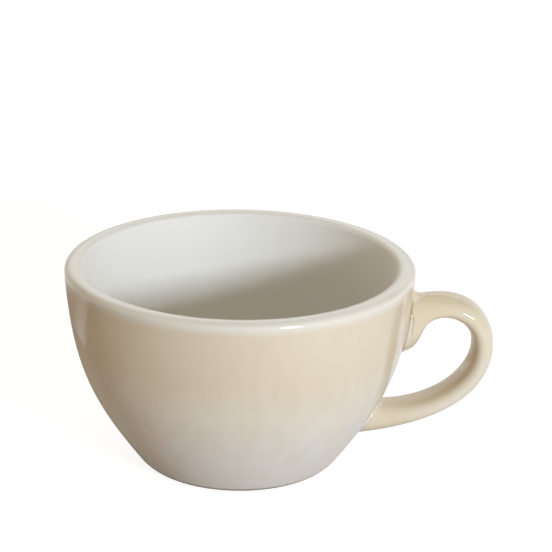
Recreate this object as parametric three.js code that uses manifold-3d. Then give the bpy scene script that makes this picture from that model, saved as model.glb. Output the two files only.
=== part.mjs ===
// Cappuccino cup in glazed stoneware. A jollied bowl stands on a bare foot ring. A cast loop handle,
// flared at its upper root, is stuck to the bowl with slip. White glaze lines the inside and laps over
// the lip. Beige glaze coats the outside and the handle, and the well under the foot is glazed too.
// Millimetres, +Z up, standing on z = 0, handle towards +X, centred on the overall length.

import * as THREE from 'three';
import { mergeVertices } from 'three/addons/utils/BufferGeometryUtils.js';
import Module from 'manifold-3d';

// Bowl, measured over the glaze. Flares are degrees from vertical, pulls are curve handle lengths.
const RIM_RADIUS = 46;
const CUP_HEIGHT = 54.6;
const LIP_THICKNESS = 5.1;
const RIM_FLARE = 3.8;
const RIM_PULL = 24;
const FOOT_RADIUS = 28;
const FOOT_FLARE = 36;
const FOOT_PULL = 21.5;
const INSIDE_RIM_PULL = 26;
const INSIDE_FLOOR_PULL = 24;
const INSIDE_FLOOR_RADIUS = 8;
const FLOOR_THICKNESS = 5.6;

// Foot: the edge rounds in from the wall to a flat ring, with a well inside the ring.
const FOOT_EDGE_HEIGHT = 2.5;
const FOOT_EDGE_RUN = 3.7;
const RING_WIDTH = 3.4;
const WELL_DEPTH = 2.2;
const WELL_FILLET = 2.6;
const BARE_FOOT = 0.6;

// Handle, measured over the glaze. Drops are below the rim, heights are above the table.
const HANDLE_REACH = 21.5;
const HANDLE_THICKNESS = 5.9;
const HANDLE_WIDTH = 11;
const LOWER_ROOT_WIDTH = 12;
const SECTION_SQUARENESS = 2.4;
const GRIP_DROP = 22.5;
const TOP_EDGE_DROP = 10.2;
const TOP_EDGE_RISE = 17.2;
const TOP_EDGE_PULL = 19.6;
const NOSE_DROP = 24.6;
const NOSE_PULL = 8.6;
const WAIST_DROP = 18;
const WAIST_REACH = 4.3;
const WAIST_RISE = 73;
const WAIST_NOSE_PULL = 4.7;
const WAIST_LOOP_PULL = 6.4;
const WAIST_SHARE = 0.18;
const GRIP_OUTER_RISE_PULL = 9.3;
const GRIP_OUTER_FALL_PULL = 15.8;
const GRIP_INNER_RISE_PULL = 8.9;
const GRIP_INNER_FALL_PULL = 8.7;
const LOWER_ROOT_BOTTOM = 5.6;
const BOTTOM_EDGE_RISE = 5.7;
const BOTTOM_EDGE_PULL = 24;
const LOWER_ROOT_TOP = 15.9;
const INNER_EDGE_RISE = -8.6;
const INNER_EDGE_PULL = 17.8;
const ROOT_EMBED = 4;

// Coats and joints. The seam is the hairline left between pieces that were fired together.
const GLAZE = 0.4;
const SLIP = 0.9;
const SLIP_BEAD = 0.6;
const SEAM = 0.05;

// Facets
const BOWL_SEGMENTS = 48;
const WALL_STEPS = 9;
const LIP_STEPS = 8;
const EDGE_STEPS = 4;
const NOSE_STEPS = 6;
const LOOP_STEPS = 10;
const ARM_STEPS = 14;
const SECTION_SIDES = 16;

const wasm = await Module();
wasm.setup();

const at = (radius, height) => new THREE.Vector2(radius, height);

// A step of the given length, in a direction given in degrees above the horizontal.
function heading(rise, length) {
  const angle = THREE.MathUtils.degToRad(rise);
  return at(length * Math.cos(angle), length * Math.sin(angle));
}

// Points on a profile curve from one share of it to another, moved to its left by a depth. Every
// profile here runs with the clay on its left, so a positive depth goes into the clay.
function inset(curve, steps, depth, from = 0, to = 1) {
  return Array.from({ length: steps + 1 }, (_, i) => {
    const t = from + ((to - from) * i) / steps;
    const along = curve.getTangent(t);
    return curve.getPoint(t).add(at(-along.y, along.x).multiplyScalar(depth));
  });
}

// Bowl profile
const lipRadius = LIP_THICKNESS / 2;
const lipHeight = CUP_HEIGHT - lipRadius;
const clayDepth = GLAZE + SEAM;
const ringOuter = FOOT_RADIUS - FOOT_EDGE_RUN;
const ringInner = ringOuter - RING_WIDTH;
const wellHeight = WELL_DEPTH + clayDepth;
const floorHeight = WELL_DEPTH + FLOOR_THICKNESS;

const wallFoot = at(FOOT_RADIUS, FOOT_EDGE_HEIGHT);
const wallTop = at(RIM_RADIUS, lipHeight);
const wall = new THREE.CubicBezierCurve(
  wallFoot,
  wallFoot.clone().add(heading(90 - FOOT_FLARE, FOOT_PULL)),
  wallTop.clone().sub(heading(90 - RIM_FLARE, RIM_PULL)),
  wallTop,
);

const lip = new THREE.EllipseCurve(
  RIM_RADIUS - lipRadius, lipHeight, lipRadius, lipRadius, 0, Math.PI,
);

const insideTop = at(RIM_RADIUS - LIP_THICKNESS, lipHeight);
const insideFloor = at(INSIDE_FLOOR_RADIUS, floorHeight);
const inside = new THREE.CubicBezierCurve(
  insideTop,
  insideTop.clone().sub(heading(90 - RIM_FLARE, INSIDE_RIM_PULL)),
  insideFloor.clone().add(at(INSIDE_FLOOR_PULL, 0)),
  insideFloor,
);

const well = new THREE.QuadraticBezierCurve(
  at(ringInner - WELL_FILLET, wellHeight), at(ringInner, wellHeight), at(ringInner, 0),
);

// The foot edge of the surface that lies at a depth under the glaze.
function footEdge(depth) {
  const [end] = inset(wall, 1, depth);
  const corner = end.x - end.y * Math.tan(THREE.MathUtils.degToRad(FOOT_FLARE));
  return new THREE.QuadraticBezierCurve(at(ringOuter, 0), at(corner, 0), end);
}

// The stretch of the outside from the glaze's lower edge up to the middle of the lip.
function coatedOutside(depth) {
  const edge = footEdge(depth);
  const start = Math.sqrt(BARE_FOOT / edge.v2.y);
  return [
    ...inset(edge, EDGE_STEPS, 0, start),
    ...inset(wall, WALL_STEPS, depth).slice(1, -1),
    inset(lip, 1, depth)[0],
  ];
}

// The stretch from the middle of the lip, over it and down inside to the axis.
function coatedInside(depth, start = 0) {
  return [
    ...inset(lip, LIP_STEPS, depth, start),
    ...inset(inside, WALL_STEPS, depth).slice(1),
    at(0, floorHeight - depth),
  ];
}

// The well's surface from the axis out to the glaze's edge, above the foot ring.
function coatedWell(depth) {
  const end = Math.sqrt(1 - BARE_FOOT / wellHeight);
  return [at(0, wellHeight + depth), ...inset(well, EDGE_STEPS, depth, 0, end)];
}

// The outside radius of the glazed wall at a height.
function wallRadius(height) {
  let low = 0;
  let high = 1;
  while (high - low > 1e-9) {
    const middle = (low + high) / 2;
    if (wall.getPoint(middle).y < height) low = middle;
    else high = middle;
  }
  return wall.getPoint(low).x;
}

// Solids
function revolve(profile) {
  return bare(new THREE.LatheGeometry(profile, BOWL_SEGMENTS).rotateX(Math.PI / 2));
}

function bare(geometry) {
  geometry.deleteAttribute('normal');
  geometry.deleteAttribute('uv');
  return mergeVertices(geometry);
}

function solid(geometry) {
  return new wasm.Manifold(new wasm.Mesh({
    numProp: 3,
    vertProperties: geometry.getAttribute('position').array,
    triVerts: Uint32Array.from(geometry.index.array),
  }));
}

function surface(manifold) {
  const { vertProperties, triVerts } = manifold.getMesh();
  const geometry = new THREE.BufferGeometry();
  geometry.setAttribute('position', new THREE.BufferAttribute(vertProperties, 3));
  geometry.setIndex(new THREE.BufferAttribute(triVerts, 1));
  return geometry;
}

// The bowl filled in, out to the surface at a depth under the glaze, from the foot edge to the lip.
function filledBowl(depth) {
  const points = inset(wall, WALL_STEPS, depth);
  return solid(revolve([at(0, points[0].y), ...points, at(0, points.at(-1).y)]));
}

// Handle: outer and inner edges in the plane of the loop, with oval sections spanning them.
function rootPoint(height) {
  return at(wallRadius(height) - ROOT_EMBED, height);
}

function edgeCurve(start, startStep, end, endStep) {
  return new THREE.CubicBezierCurve(start, start.clone().add(startStep), end.clone().add(endStep), end);
}

const gripHeight = CUP_HEIGHT - GRIP_DROP;
const gripOuter = at(RIM_RADIUS + HANDLE_REACH, gripHeight);
const gripInner = at(gripOuter.x - HANDLE_THICKNESS, gripHeight);
const waistHeight = CUP_HEIGHT - WAIST_DROP;
const waist = at(wallRadius(waistHeight) + WAIST_REACH, waistHeight);

const topEdge = edgeCurve(
  rootPoint(CUP_HEIGHT - TOP_EDGE_DROP), heading(TOP_EDGE_RISE, TOP_EDGE_PULL),
  gripOuter, at(0, GRIP_OUTER_RISE_PULL),
);
const bottomEdge = edgeCurve(
  gripOuter, at(0, -GRIP_OUTER_FALL_PULL),
  rootPoint(LOWER_ROOT_BOTTOM), heading(BOTTOM_EDGE_RISE, BOTTOM_EDGE_PULL),
);
const noseEdge = edgeCurve(
  rootPoint(CUP_HEIGHT - NOSE_DROP), at(NOSE_PULL, 0),
  waist, heading(WAIST_RISE, -WAIST_NOSE_PULL),
);
const loopEdge = edgeCurve(
  waist, heading(WAIST_RISE, WAIST_LOOP_PULL),
  gripInner, at(0, GRIP_INNER_RISE_PULL),
);
const armEdge = edgeCurve(
  gripInner, at(0, -GRIP_INNER_FALL_PULL),
  rootPoint(LOWER_ROOT_TOP), heading(INNER_EDGE_RISE, INNER_EDGE_PULL),
);

// Stations along the handle: the ends of each section and its width. The nose is the flare under the
// upper root, and its waist lies under a share of the top edge.
const upperOuter = [
  ...inset(topEdge, NOSE_STEPS, 0, 0, WAIST_SHARE),
  ...inset(topEdge, LOOP_STEPS, 0, WAIST_SHARE).slice(1),
];
const upperInner = [...noseEdge.getPoints(NOSE_STEPS), ...loopEdge.getPoints(LOOP_STEPS).slice(1)];
const upperStations = upperOuter.map((outer, i) => (
  { outer, inner: upperInner[i], width: HANDLE_WIDTH }
));
const lowerInner = armEdge.getPoints(ARM_STEPS);
const lowerStations = bottomEdge.getPoints(ARM_STEPS).map((outer, i) => (
  {
    outer,
    inner: lowerInner[i],
    width: THREE.MathUtils.lerp(HANDLE_WIDTH, LOWER_ROOT_WIDTH, (i / ARM_STEPS) ** 2),
  }
));
const handleStations = [...upperStations, ...lowerStations.slice(1)];

// One oval section, grown outwards by a margin.
function section({ outer, inner, width }, margin) {
  const middle = outer.clone().add(inner).multiplyScalar(0.5);
  const half = outer.clone().sub(middle);
  half.setLength(half.length() + margin);
  const halfWidth = width / 2 + margin;
  const round = (value) => Math.sign(value) * Math.abs(value) ** (2 / SECTION_SQUARENESS);
  return Array.from({ length: SECTION_SIDES }, (_, i) => {
    const angle = (2 * Math.PI * i) / SECTION_SIDES;
    const across = round(Math.cos(angle));
    const side = round(Math.sin(angle));
    return [middle.x + half.x * across, halfWidth * side, middle.y + half.y * across];
  });
}

// A closed solid through the sections of a row of stations.
function loft(stations, margin) {
  const rings = stations.map((station) => section(station, margin));
  const points = rings.flat();
  const faces = [];
  for (let ring = 0; ring < rings.length - 1; ring += 1) {
    for (let side = 0; side < SECTION_SIDES; side += 1) {
      const a = ring * SECTION_SIDES + side;
      const b = ring * SECTION_SIDES + ((side + 1) % SECTION_SIDES);
      faces.push(a, a + SECTION_SIDES, b, b, a + SECTION_SIDES, b + SECTION_SIDES);
    }
  }
  const last = (rings.length - 1) * SECTION_SIDES;
  for (let side = 1; side < SECTION_SIDES - 1; side += 1) {
    faces.push(0, side, side + 1, last, last + side + 1, last + side);
  }
  const geometry = new THREE.BufferGeometry();
  geometry.setAttribute('position', new THREE.Float32BufferAttribute(points.flat(), 3));
  geometry.setIndex(faces);
  return solid(geometry);
}

// Pieces
const bowlToSlip = filledBowl(clayDepth - SEAM);
const bowlWithSlip = filledBowl(clayDepth - SLIP);
const bowlToHandle = filledBowl(clayDepth - SLIP - SEAM);

function cupBody() {
  return revolve([
    ...coatedWell(0),
    at(ringInner, 0),
    at(ringOuter, 0),
    ...coatedOutside(clayDepth).slice(0, -1),
    ...coatedInside(clayDepth),
  ]);
}

function handle() {
  return surface(loft(handleStations, -clayDepth).subtract(bowlToHandle));
}

function slipJoint(stations) {
  return surface(loft(stations, SLIP_BEAD).intersect(bowlWithSlip).subtract(bowlToSlip));
}

function linerGlaze() {
  const start = SEAM / (Math.PI * lipRadius);
  return revolve([...coatedInside(GLAZE, start).reverse(), ...coatedInside(0, start)]);
}

function outerGlaze() {
  const outside = coatedOutside(0);
  const coat = revolve([...outside, ...coatedOutside(GLAZE).reverse(), outside[0]]);
  return surface(solid(coat).subtract(loft(handleStations, SLIP_BEAD + SEAM)));
}

function handleGlaze() {
  const coat = loft(handleStations, 0).subtract(loft(handleStations, -GLAZE));
  return surface(coat.subtract(bowlToHandle));
}

function wellGlaze() {
  return revolve([...coatedWell(-clayDepth), ...coatedWell(-SEAM).reverse()]);
}

const bareClay = { color: 0xcbb9a0, roughness: 0.85, metalness: 0 };
const whiteGlaze = { color: 0xe6e3dd, roughness: 0.12, metalness: 0 };
const beigeGlaze = { color: 0xdccdb2, roughness: 0.14, metalness: 0 };
const paleGlaze = { color: 0xdad3c8, roughness: 0.16, metalness: 0 };

const cup = new THREE.Group();
cup.position.x = -HANDLE_REACH / 2;

function addPiece(name, geometry, finish) {
  const piece = new THREE.Mesh(geometry, new THREE.MeshStandardMaterial(finish));
  piece.name = name;
  cup.add(piece);
}

addPiece('cup_body', cupBody(), bareClay);
addPiece('handle', handle(), bareClay);
addPiece('upper_handle_slip', slipJoint(upperStations), paleGlaze);
addPiece('lower_handle_slip', slipJoint(lowerStations), paleGlaze);
addPiece('liner_glaze', linerGlaze(), whiteGlaze);
addPiece('outer_glaze', outerGlaze(), beigeGlaze);
addPiece('handle_glaze', handleGlaze(), beigeGlaze);
addPiece('well_glaze', wellGlaze(), paleGlaze);

const model = new THREE.Group();
model.add(cup);

export default model;
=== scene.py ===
# %% [markdown]
# # A cappuccino cup in two glazes
# The cup is a thick stoneware bowl on a bare foot ring, with a cast loop handle stuck on with slip. White
# glaze lines the inside and laps over the lip. A beige glaze that breaks to a pale, pinkish white towards
# the foot coats the outside and the handle. A measured model of the clay, the joints and the coats comes
# first and stays as it is. This lesson lays fine, smooth surfaces over it and gives each one its finish.

# %% Load the measured cup
import math

import bmesh
import bpy
from mathutils import Matrix, Vector


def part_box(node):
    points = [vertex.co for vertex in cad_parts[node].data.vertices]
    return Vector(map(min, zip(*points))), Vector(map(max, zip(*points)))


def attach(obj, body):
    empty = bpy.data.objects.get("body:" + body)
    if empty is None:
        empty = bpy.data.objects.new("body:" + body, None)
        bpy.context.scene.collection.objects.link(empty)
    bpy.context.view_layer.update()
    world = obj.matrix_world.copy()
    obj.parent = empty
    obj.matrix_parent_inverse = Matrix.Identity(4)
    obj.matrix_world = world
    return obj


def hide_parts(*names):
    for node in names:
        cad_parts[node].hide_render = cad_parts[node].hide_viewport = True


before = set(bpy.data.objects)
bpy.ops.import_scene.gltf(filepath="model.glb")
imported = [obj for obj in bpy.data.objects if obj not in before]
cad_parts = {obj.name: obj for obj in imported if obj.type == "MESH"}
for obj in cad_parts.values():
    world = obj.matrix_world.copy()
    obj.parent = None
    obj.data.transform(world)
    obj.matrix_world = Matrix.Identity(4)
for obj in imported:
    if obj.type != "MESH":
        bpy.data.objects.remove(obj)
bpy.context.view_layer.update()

MM = 0.001
print("nodes:", ", ".join(sorted(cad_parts)))

# %% [markdown]
# ## Sizes
# The overall sizes come from the measured model's own boxes, so the fine surfaces can't drift from it. The
# rest are the sizes a potter would note for this shape. Flares are degrees from vertical, rises are degrees
# above the horizontal, and a pull is the length of a curve's handle. The crown of the lip lies a little under
# the measured top, because a glaze settles as it melts.

# %% Bowl and foot sizes
LIP_SETTLING = 0.2 * MM
coat_low, coat_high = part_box("outer_glaze")
CUP_AXIS = (coat_low.x + coat_high.x) / 2
RIM_RADIUS = (coat_high.y - coat_low.y) / 2
CUP_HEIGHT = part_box("liner_glaze")[1].z - LIP_SETTLING
HANDLE_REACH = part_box("handle_glaze")[1].x - coat_high.x

LIP_THICKNESS = 5.0 * MM
LIP_RISE = 1.6 * MM
LIP_SQUARENESS = 2.5
INNER_LIP_SQUARENESS = 2.9
RIM_FLARE = 3.8
RIM_PULL = 24 * MM
FOOT_RADIUS = 27.9 * MM
FOOT_FLARE = 36
FOOT_PULL = 21.5 * MM
INSIDE_RIM_PULL = 26 * MM
INSIDE_FLOOR_PULL = 24 * MM
INSIDE_FLOOR_RADIUS = 8 * MM
FLOOR_THICKNESS = 5.6 * MM
FOOT_EDGE_HEIGHT = 2.5 * MM
FOOT_EDGE_RUN = 3.7 * MM
RING_WIDTH = 3.4 * MM
RING_CORNER = 0.7 * MM
WELL_DEPTH = 2.2 * MM
WELL_FILLET = 2.6 * MM
BARE_FOOT = 0.6 * MM
GLAZE = 0.4 * MM
CLAY_DEPTH = 0.45 * MM
print(f"rim {2 * RIM_RADIUS / MM:.1f} mm across, {CUP_HEIGHT / MM:.1f} mm high,",
      f"handle reaches {HANDLE_REACH / MM:.1f} mm")

# %% [markdown]
# ## Curves
# A thrown wall is one long, even bend, so a single cubic curve with two handles draws it better than a row
# of points. The helper walks such a curve and can step to its left by a depth. Every profile here runs with
# the clay on its left, so one curve gives both faces of a coat.

# %% Curve helpers
def heading(rise, length):
    """A step of a length, in a direction given in degrees above the horizontal."""
    return Vector((math.cos(math.radians(rise)), math.sin(math.radians(rise)))) * length


def curve_point(knots, share, depth=0.0):
    """The point at a share of a curve drawn by its knots, moved to the curve's left by a depth."""
    points = [Vector(knot) for knot in knots]
    while len(points) > 2:
        points = [a.lerp(b, share) for a, b in zip(points, points[1:])]
    along = (points[1] - points[0]).normalized()
    point = points[0].lerp(points[1], share)
    return point + Vector((-along.y, along.x)) * depth if depth else point


def walk(knots, steps, depth=0.0, first=0.0, last=1.0):
    """Points along a curve from one share of it to another."""
    return [curve_point(knots, first + (last - first) * i / steps, depth) for i in range(steps + 1)]


def squared(wave, squareness):
    """A sine or cosine that draws an ellipse at squareness 2 and a fuller oval above it."""
    return math.copysign(abs(wave) ** (2 / squareness), wave)


print("a quarter of the way along a test curve:", tuple(curve_point([(0, 0), (1, 0), (1, 1)], 0.25)))

# %% [markdown]
# ## The bowl's profile
# Cut the cup in half and the outline of the cut is its profile: up the outside, over the lip, down the inside
# to the floor, and along the foot underneath. The lip is half of a flattened oval that turns more sharply on
# its inner side. Only half of the outline is needed, because the wheel repeats it all the way round.

# %% Profile curves
lip_radius = LIP_THICKNESS / 2
lip_height = CUP_HEIGHT - LIP_RISE
lip_centre = Vector((RIM_RADIUS - lip_radius, lip_height))
ring_outer = FOOT_RADIUS - FOOT_EDGE_RUN
ring_inner = ring_outer - RING_WIDTH
well_height = WELL_DEPTH + CLAY_DEPTH
floor_height = WELL_DEPTH + FLOOR_THICKNESS

wall_foot = Vector((FOOT_RADIUS, FOOT_EDGE_HEIGHT))
wall_top = Vector((RIM_RADIUS, lip_height))
wall = [
    wall_foot,
    wall_foot + heading(90 - FOOT_FLARE, FOOT_PULL),
    wall_top - heading(90 - RIM_FLARE, RIM_PULL),
    wall_top,
]
inside_top = Vector((RIM_RADIUS - LIP_THICKNESS, lip_height))
inside_floor = Vector((INSIDE_FLOOR_RADIUS, floor_height))
inside = [
    inside_top,
    inside_top - heading(90 - RIM_FLARE, INSIDE_RIM_PULL),
    inside_floor + Vector((INSIDE_FLOOR_PULL, 0)),
    inside_floor,
]
well = [(ring_inner - WELL_FILLET, well_height), (ring_inner, well_height), (ring_inner, 0)]
print("lip", round(LIP_THICKNESS / MM, 2), "mm thick, foot ring", round(2 * ring_outer / MM, 1), "mm across")

# %% Profile stretches
WALL_STEPS = 72
LIP_STEPS = 48
EDGE_STEPS = 12
HALVINGS = 40


def foot_edge(depth):
    """The knots of the edge that rounds in from the wall to the foot ring, at a depth under the glaze."""
    end = curve_point(wall, 0, depth)
    corner = end.x - end.y * math.tan(math.radians(FOOT_FLARE))
    return [Vector((ring_outer, 0)), Vector((corner, 0)), end]


def outside_profile(depth):
    """From the coat's lower edge up to the outer side of the lip."""
    edge = foot_edge(depth)
    start = math.sqrt(BARE_FOOT / edge[2].y)
    return walk(edge, EDGE_STEPS, 0, start)[:-1] + walk(wall, WALL_STEPS, depth)


def lip_crown(depth):
    """Over the lip from its outer to its inner side, as half a flattened oval with full corners."""
    crown = []
    for i in range(LIP_STEPS + 1):
        angle = math.pi * i / LIP_STEPS
        squareness = LIP_SQUARENESS if angle < math.pi / 2 else INNER_LIP_SQUARENESS
        run = (lip_radius - depth) * squared(math.cos(angle), squareness)
        rise = (LIP_RISE - depth) * squared(math.sin(angle), squareness)
        crown.append(lip_centre + Vector((run, rise)))
    return crown


def inside_profile(depth):
    """From the outer side of the lip, over it and down inside to the axis."""
    return lip_crown(depth)[:-1] + walk(inside, WALL_STEPS, depth) + [Vector((0, floor_height - depth))]


def well_profile(depth):
    """The well's roof from the axis out to the coat's edge, above the foot ring."""
    end = math.sqrt(1 - BARE_FOOT / well_height)
    return [Vector((0, well_height + depth))] + walk(well, EDGE_STEPS, depth, 0, end)


def halved(low, high, is_before):
    """The value between two others up to which a test holds, found by halving."""
    for _ in range(HALVINGS):
        middle = (low + high) / 2
        if is_before(middle):
            low = middle
        else:
            high = middle
    return high


def wall_radius(height):
    """The outside radius of the glazed wall at a height."""
    share = halved(0.0, 1.0, lambda middle: curve_point(wall, middle).y < height)
    return curve_point(wall, share).x


print("wall radius half way up:", round(wall_radius(CUP_HEIGHT / 2) / MM, 2), "mm")

# %% [markdown]
# ## Node trees written as sums
# Blender's Math nodes are easier to read as arithmetic. This small class holds one output of a node, in a
# material or in a geometry tree, and turns an operator between two of them into a Math node. Every other
# node comes from its one method, which takes the node's type, its settings and what goes into its sockets.

# %% Sockets that can be added and multiplied
def operator(operation, swapped=False):
    """A method that answers an operator with a Math node, with its two values swapped if wanted."""
    def method(self, other):
        return self.math(operation, other, self) if swapped else self.math(operation, self, other)
    return method


class Signal:
    """One output socket in a node tree. Arithmetic on it adds Math nodes."""

    def __init__(self, tree, socket=None):
        self.tree = tree
        self.socket = socket

    def node(self, kind, settings=None, inputs=None, output=0):
        """Adds a node, sets it, fills its sockets and returns one of its outputs."""
        made = self.tree.nodes.new(kind)
        for name, value in (settings or {}).items():
            if name == "stops":
                fill_ramp(made.color_ramp, value)
            else:
                setattr(made, name, value)
        for name, value in (inputs or {}).items():
            socket = find_socket(made.inputs, name)
            if isinstance(value, Signal):
                self.tree.links.new(value.socket, socket)
            else:
                socket.default_value = value
        return Signal(self.tree, find_socket(made.outputs, output)) if made.outputs else None

    def math(self, operation, *values):
        """A Math node of some values."""
        return self.node("ShaderNodeMath", {"operation": operation}, dict(enumerate(values)))

    __add__ = operator("ADD")
    __radd__ = operator("ADD", swapped=True)
    __sub__ = operator("SUBTRACT")
    __rsub__ = operator("SUBTRACT", swapped=True)
    __mul__ = operator("MULTIPLY")
    __rmul__ = operator("MULTIPLY", swapped=True)
    __truediv__ = operator("DIVIDE")
    __rtruediv__ = operator("DIVIDE", swapped=True)
    __pow__ = operator("POWER")


def find_socket(sockets, key):
    """A socket by its place, or the first usable one with a name."""
    if isinstance(key, int):
        return sockets[key]
    return next(socket for socket in sockets if socket.name == key and socket.enabled)


def fill_ramp(ramp, stops):
    """Puts (position, colour) stops on a colour ramp."""
    while len(ramp.elements) < len(stops):
        ramp.elements.new(1.0)
    for element, (position, colour) in zip(ramp.elements, stops):
        element.position = position
        element.color = colour


print("signal arithmetic ready")

# %% [markdown]
# ## One tree that turns and lofts
# A bowl is a stack of circles and a handle is a row of ovals, so one Geometry Nodes tree can make both. Its
# input is a mesh of loose points, the stations. Each carries a reach, from its middle to the section's outer
# edge, and a half width along Y. The tree takes a flat grid with a row for each station, finds each vertex's
# row and column from its index, and moves it onto its section. Merging doubles then closes the seam, and a
# station of no size closes an end. A little slow noise swells the sections, as no wheel runs quite true. Each
# vertex keeps how far it lies towards the section's outer edge, so that a finish can tell the sides apart.

# %% The loft tree
LOFT_SOCKETS = {
    "Stations": "NodeSocketGeometry",
    "Sides": "NodeSocketInt",
    "Squareness": "NodeSocketFloat",
    "Swell": "NodeSocketFloat",
    "Swells per metre": "NodeSocketFloat",
    "Finish": "NodeSocketMaterial",
}
MERGE_DISTANCE = 1e-6
NOISE_MIDDLE = 0.5


def loft_tree():
    """A geometry tree that spans oval sections over stations, and the identifiers of its inputs."""
    tree = bpy.data.node_groups.new("oval_loft", "GeometryNodeTree")
    identifiers = {
        name: tree.interface.new_socket(name, in_out="INPUT", socket_type=kind).identifier
        for name, kind in LOFT_SOCKETS.items()
    }
    tree.interface.new_socket("Piece", in_out="OUTPUT", socket_type="NodeSocketGeometry")
    start = Signal(tree)
    given = tree.nodes.new("NodeGroupInput").outputs
    stations, sides, squareness, swell, swell_scale, finish = (
        Signal(tree, given[name]) for name in LOFT_SOCKETS
    )

    columns = sides + 1
    rows = start.node("GeometryNodeAttributeDomainSize", inputs={"Geometry": stations})
    grid = start.node("GeometryNodeMeshGrid", inputs={"Vertices X": rows, "Vertices Y": columns})
    index = start.node("GeometryNodeInputIndex")
    row = start.math("FLOOR", (index + 0.5) / columns)
    turn = (index - row * columns) / sides * math.tau

    def at_station(data_type, value):
        sampled = {"Geometry": stations, "Value": value, "Index": row}
        return start.node("GeometryNodeSampleIndex", {"data_type": data_type}, sampled)

    def carried(data_type, name):
        field = start.node("GeometryNodeInputNamedAttribute", {"data_type": data_type}, {"Name": name})
        return at_station(data_type, field)

    middle = at_station("FLOAT_VECTOR", start.node("GeometryNodeInputPosition"))
    reach = carried("FLOAT_VECTOR", "reach")
    half_width = carried("FLOAT", "half_width")

    def rounded(wave):
        return start.math("SIGN", wave) * start.math("ABSOLUTE", wave) ** (2 / squareness)

    across = rounded(start.math("COSINE", turn))
    side = rounded(start.math("SINE", turn))

    def on_section(size):
        outward = {"Vector": reach, "Scale": across * size}
        along = start.node("ShaderNodeVectorMath", {"operation": "SCALE"}, outward)
        wide = start.node("ShaderNodeCombineXYZ", inputs={"Y": half_width * side * size})
        spread = start.node("ShaderNodeVectorMath", {"operation": "ADD"}, {0: along, 1: wide})
        return start.node("ShaderNodeVectorMath", {"operation": "ADD"}, {0: middle, 1: spread})

    true_place = on_section(1.0)
    noise = start.node("ShaderNodeTexNoise", inputs={
        "Vector": true_place, "Scale": swell_scale, "Detail": 1.0,
    })
    swollen = on_section(1 + swell * (noise - NOISE_MIDDLE))
    shaped = start.node("GeometryNodeSetPosition", inputs={"Geometry": grid, "Position": swollen})
    marked = start.node("GeometryNodeStoreNamedAttribute", {"data_type": "FLOAT", "domain": "POINT"}, {
        "Geometry": shaped, "Name": "outer_side", "Value": across,
    })
    closed = start.node("GeometryNodeMergeByDistance", inputs={
        "Geometry": marked, "Distance": MERGE_DISTANCE,
    })
    smooth = start.node("GeometryNodeSetShadeSmooth", inputs={"Geometry": closed})
    real = start.node("GeometryNodeRealizeInstances", inputs={"Geometry": smooth})
    glazed = start.node("GeometryNodeSetMaterial", inputs={"Geometry": real, "Material": finish})
    tree.links.new(glazed.socket, tree.nodes.new("NodeGroupOutput").inputs[0])
    return tree, identifiers


loft, loft_inputs = loft_tree()
print("loft tree:", len(loft.nodes), "nodes, inputs", ", ".join(loft_inputs))

# %% [markdown]
# The tree's result is turned into a plain mesh straight away, so nothing depends on the modifier later. The
# mesh is then cleaned: a wire left between two closed ends goes, faces are turned outwards, and edges that
# bend sharply stay crisp while the rest shades smoothly.

# %% Lofted pieces
CRISP_ANGLE = 40
ELLIPSE = 2.0
SWELL = 0.004
SWELLS_PER_METRE = 22


def add_object(name, data):
    """A new object in the scene."""
    made = bpy.data.objects.new(name, data)
    bpy.context.scene.collection.objects.link(made)
    return made


def clean(mesh):
    """Removes wires, points faces outwards and keeps sharp bends crisp. Returns the volume."""
    shape = bmesh.new()
    shape.from_mesh(mesh)
    wires = [edge for edge in shape.edges if edge.is_wire]
    bmesh.ops.delete(shape, geom=wires, context="EDGES")
    bmesh.ops.recalc_face_normals(shape, faces=shape.faces)
    volume = shape.calc_volume(signed=True)
    shape.to_mesh(mesh)
    shape.free()
    mesh.set_sharp_from_angle(angle=math.radians(CRISP_ANGLE))
    return volume


def loft_piece(name, stations, finish, sides, squareness=ELLIPSE):
    """A piece through (middle, reach, half width) stations, as a plain mesh."""
    middles, reaches, half_widths = zip(*stations)
    points = bpy.data.meshes.new(name)
    points.from_pydata(middles, [], [])
    reach = points.attributes.new("reach", "FLOAT_VECTOR", "POINT")
    reach.data.foreach_set("vector", [number for vector in reaches for number in vector])
    half_width = points.attributes.new("half_width", "FLOAT", "POINT")
    half_width.data.foreach_set("value", half_widths)
    piece = add_object(name, points)
    modifier = piece.modifiers.new("loft", "NODES")
    modifier.node_group = loft
    given = {
        "Sides": sides,
        "Squareness": squareness,
        "Swell": SWELL,
        "Swells per metre": SWELLS_PER_METRE,
        "Finish": finish,
    }
    for label, value in given.items():
        modifier[loft_inputs[label]] = value
    evaluated = piece.evaluated_get(bpy.context.evaluated_depsgraph_get())
    solid = bpy.data.meshes.new_from_object(evaluated)
    piece.modifiers.clear()
    piece.data = solid
    volume = clean(solid)
    print(f"{name}: {len(solid.polygons)} faces, {volume / MM ** 3 / 1000:.2f} ml")
    return piece


BOWL_SIDES = 240


def turned_piece(name, profile, finish):
    """A piece turned about the cup's axis from a profile of (radius, height) points."""
    stations = [
        ((CUP_AXIS, 0, point.y), (point.x, 0, 0), point.x) for point in profile
    ]
    return loft_piece(name, stations, finish, BOWL_SIDES)


def seat(piece, node):
    """Puts a piece in its node's place on the cup."""
    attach(piece, "root")
    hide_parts(node)


print("pieces are made with", BOWL_SIDES, "sides round the bowl")

# %% [markdown]
# ## Finishes
# A fired glaze is a thin layer of glass: smooth, bright at its edges, and coloured unevenly where it ran and
# pooled. Each finish here is one Principled shader. Its colour follows the place on the cup and slow noise,
# its roughness varies, and a very shallow bump makes reflections waver as they do in real glaze. The helpers
# hold what several finishes share, so that each finish reads as a short recipe.

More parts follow.
